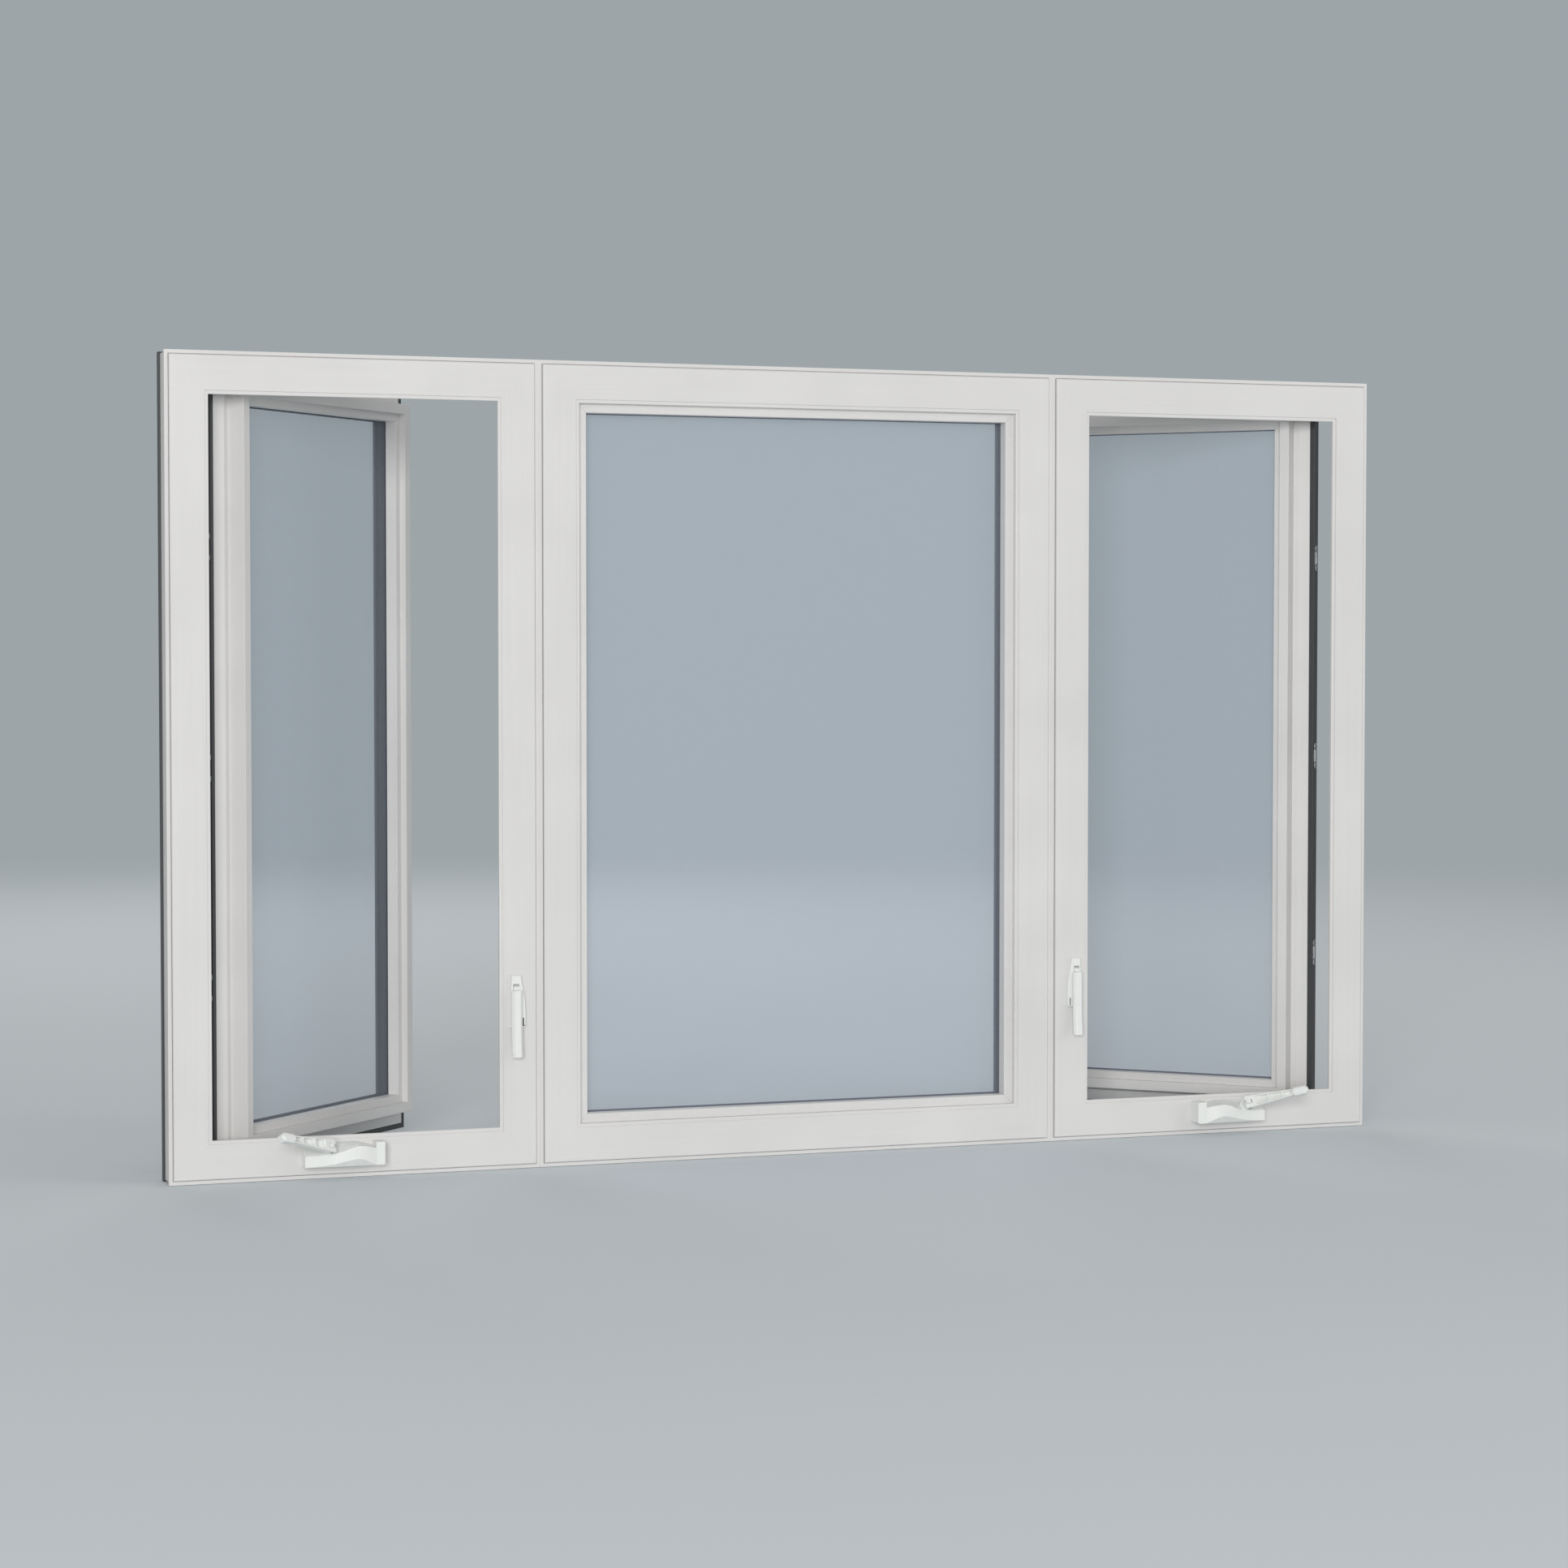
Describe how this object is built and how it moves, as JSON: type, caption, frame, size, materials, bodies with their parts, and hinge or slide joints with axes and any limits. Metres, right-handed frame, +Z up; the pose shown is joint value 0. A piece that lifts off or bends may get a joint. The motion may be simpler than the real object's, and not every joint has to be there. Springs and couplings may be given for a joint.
{
  "type": "combination casement window",
  "caption": "White vinyl combination window: a fixed picture light between crank-out casements on sliding stay hinges, with folding cranks, lock levers and dark outdoor cladding.",
  "frame": {"origin": "middle of the sill's under face, halfway through the frame's depth", "axes": "X along the window, Y outward through the wall, Z up"},
  "size_m": [2.1336, 0.5675, 1.3208],
  "materials": {
    "white_vinyl": "smooth satin white vinyl extrusion",
    "bronze_cladding": "dark satin outdoor capping",
    "clear_glass": "clear insulating glass",
    "spacer_bar": "black warm-edge spacer",
    "seal_rubber": "soft pale grey bulb seal",
    "steel_hardware": "plain stamped steel",
    "white_hardware": "white coated die casting"
  },
  "bodies": {
    "frame": {"left_frame_head": "white_vinyl", "left_frame_sill": "white_vinyl", "left_frame_hinge_jamb": "white_vinyl", "left_frame_lock_jamb": "white_vinyl", "right_frame_head": "white_vinyl", "right_frame_sill": "white_vinyl", "right_frame_hinge_jamb": "white_vinyl", "right_frame_lock_jamb": "white_vinyl", "exterior_cladding": "bronze_cladding", "frame_seals": "seal_rubber", "stay_tracks": "steel_hardware", "operator_covers": "white_hardware", "lock_escutcheons": "white_hardware", "picture_head": "white_vinyl", "picture_sill": "white_vinyl", "picture_left_jamb": "white_vinyl", "picture_right_jamb": "white_vinyl", "picture_bead": "white_vinyl", "picture_glass": "clear_glass", "picture_spacer": "spacer_bar"},
    "left_stay_arms": {"left_support_arms": "steel_hardware"},
    "left_sash": {"left_sash_top_rail": "white_vinyl", "left_sash_bottom_rail": "white_vinyl", "left_sash_hinge_stile": "white_vinyl", "left_sash_lock_stile": "white_vinyl", "left_sash_cladding": "bronze_cladding", "left_sash_glass": "clear_glass", "left_sash_spacer": "spacer_bar", "left_sash_bead": "white_vinyl", "left_sash_arms": "steel_hardware", "left_snubbers": "steel_hardware", "left_stud_bracket": "steel_hardware"},
    "left_shoes": {"left_stay_shoes": "steel_hardware"},
    "left_operator": {"left_operator_arm": "steel_hardware"},
    "left_crank": {"left_crank_spindle": "white_hardware"},
    "left_handle": {"left_crank_handle": "white_hardware"},
    "left_lever": {"left_lock_lever": "white_hardware"},
    "right_stay_arms": {"right_support_arms": "steel_hardware"},
    "right_sash": {"right_sash_top_rail": "white_vinyl", "right_sash_bottom_rail": "white_vinyl", "right_sash_hinge_stile": "white_vinyl", "right_sash_lock_stile": "white_vinyl", "right_sash_cladding": "bronze_cladding", "right_sash_glass": "clear_glass", "right_sash_spacer": "spacer_bar", "right_sash_bead": "white_vinyl", "right_sash_arms": "steel_hardware", "right_snubbers": "steel_hardware", "right_stud_bracket": "steel_hardware"},
    "right_shoes": {"right_stay_shoes": "steel_hardware"},
    "right_operator": {"right_operator_arm": "steel_hardware"},
    "right_crank": {"right_crank_spindle": "white_hardware"},
    "right_handle": {"right_crank_handle": "white_hardware"},
    "right_lever": {"right_lock_lever": "white_hardware"}
  },
  "joints": [
    {"name": "left_stay_pivot", "type": "hinge", "parent": "frame", "child": "left_stay_arms", "pos_m": [-0.8278, 0.019, 0.6574], "axis": [0, 0, 1], "range_deg": [-36, 46]},
    {"name": "left_sash_swing", "type": "hinge", "parent": "left_stay_arms", "child": "left_sash", "pos_m": [-0.90452, 0.09572, 0.6574], "axis": [0, 0, 1], "range_deg": [-90, 70]},
    {"name": "left_shoe_pivot", "type": "hinge", "parent": "left_sash", "child": "left_shoes", "pos_m": [-0.98124, 0.019, 0.6574], "axis": [0, 0, 1], "range_deg": [-36, 46]},
    {"name": "left_operator_pivot", "type": "hinge", "parent": "frame", "child": "left_operator", "pos_m": [-0.7868, -0.014, 0.025], "axis": [0, 0, 1], "range_deg": [-31, 39.5]},
    {"name": "left_crank_turn", "type": "hinge", "parent": "frame", "child": "left_crank", "pos_m": [-0.8158, -0.063, 0.048], "axis": [0, -0.8829, 0.4695], "range_deg": [-3250, 2530]},
    {"name": "left_handle_fold", "type": "hinge", "parent": "left_crank", "child": "left_handle", "pos_m": [-0.8158, -0.07536, 0.05457], "axis": [0, -0.4695, -0.8829], "range_deg": [-140, 0]},
    {"name": "left_lock_turn", "type": "hinge", "parent": "frame", "child": "left_lever", "pos_m": [-0.5007, -0.0392, 0.293], "axis": [-1, 0, 0], "range_deg": [0, 75]},
    {"name": "right_stay_pivot", "type": "hinge", "parent": "frame", "child": "right_stay_arms", "pos_m": [0.8278, 0.019, 0.6574], "axis": [0, 0, -1], "range_deg": [-36, 46]},
    {"name": "right_sash_swing", "type": "hinge", "parent": "right_stay_arms", "child": "right_sash", "pos_m": [0.90452, 0.09572, 0.6574], "axis": [0, 0, -1], "range_deg": [-90, 70]},
    {"name": "right_shoe_pivot", "type": "hinge", "parent": "right_sash", "child": "right_shoes", "pos_m": [0.98124, 0.019, 0.6574], "axis": [0, 0, -1], "range_deg": [-36, 46]},
    {"name": "right_operator_pivot", "type": "hinge", "parent": "frame", "child": "right_operator", "pos_m": [0.7868, -0.014, 0.025], "axis": [0, 0, -1], "range_deg": [-31, 39.5]},
    {"name": "right_crank_turn", "type": "hinge", "parent": "frame", "child": "right_crank", "pos_m": [0.8158, -0.063, 0.048], "axis": [0, 0.8829, -0.4695], "range_deg": [-3250, 2530]},
    {"name": "right_handle_fold", "type": "hinge", "parent": "right_crank", "child": "right_handle", "pos_m": [0.8158, -0.07536, 0.05457], "axis": [0, 0.4695, 0.8829], "range_deg": [-140, 0]},
    {"name": "right_lock_turn", "type": "hinge", "parent": "frame", "child": "right_lever", "pos_m": [0.5007, -0.0392, 0.293], "axis": [-1, 0, 0], "range_deg": [0, 75]}
  ],
  "couplings": [
    {"joint": "left_stay_pivot", "follows": "left_sash_swing", "ratio": -0.5},
    {"joint": "left_shoe_pivot", "follows": "left_sash_swing", "ratio": -0.5},
    {"joint": "left_operator_pivot", "follows": "left_sash_swing", "ratio": -0.43205},
    {"joint": "left_crank_turn", "follows": "left_sash_swing", "ratio": 36},
    {"joint": "right_stay_pivot", "follows": "right_sash_swing", "ratio": -0.5},
    {"joint": "right_shoe_pivot", "follows": "right_sash_swing", "ratio": -0.5},
    {"joint": "right_operator_pivot", "follows": "right_sash_swing", "ratio": -0.43205},
    {"joint": "right_crank_turn", "follows": "right_sash_swing", "ratio": 36}
  ]
}
